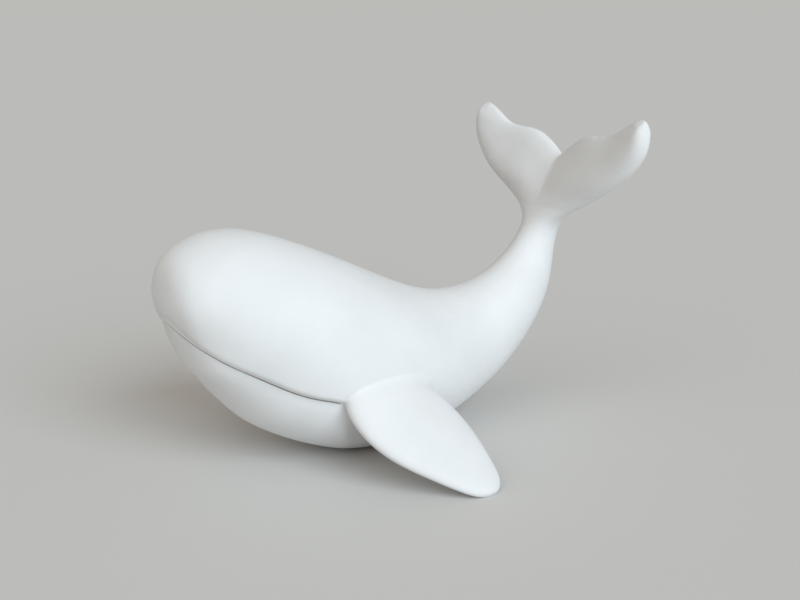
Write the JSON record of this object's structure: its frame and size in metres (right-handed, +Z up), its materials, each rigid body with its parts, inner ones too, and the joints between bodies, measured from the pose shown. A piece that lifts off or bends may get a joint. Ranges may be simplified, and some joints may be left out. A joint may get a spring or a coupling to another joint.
{
  "type": "whale figurine",
  "caption": "Matte white whale figurine with a raised tail, resting on its belly and flipper tips, as a desk or shelf ornament.",
  "frame": {"origin": "on the surface that the figurine rests on, under the middle of its outline", "axes": "+X from head to tail, +Y to the whale's right side, +Z up from the resting surface"},
  "size_m": [0.1544, 0.1218, 0.1057],
  "materials": {
    "white_skin": "matte white with faint layer lines",
    "peg_plastic": "plain white, unpainted"
  },
  "bodies": {
    "root": {"body_shell": "white_skin", "throat_shell": "white_skin", "left_flipper": "white_skin", "right_flipper": "white_skin", "left_fluke": "white_skin", "right_fluke": "white_skin", "tail_dowel": "peg_plastic", "left_front_dowel": "peg_plastic", "left_rear_dowel": "peg_plastic", "right_front_dowel": "peg_plastic", "right_rear_dowel": "peg_plastic"}
  },
  "joints": []
}
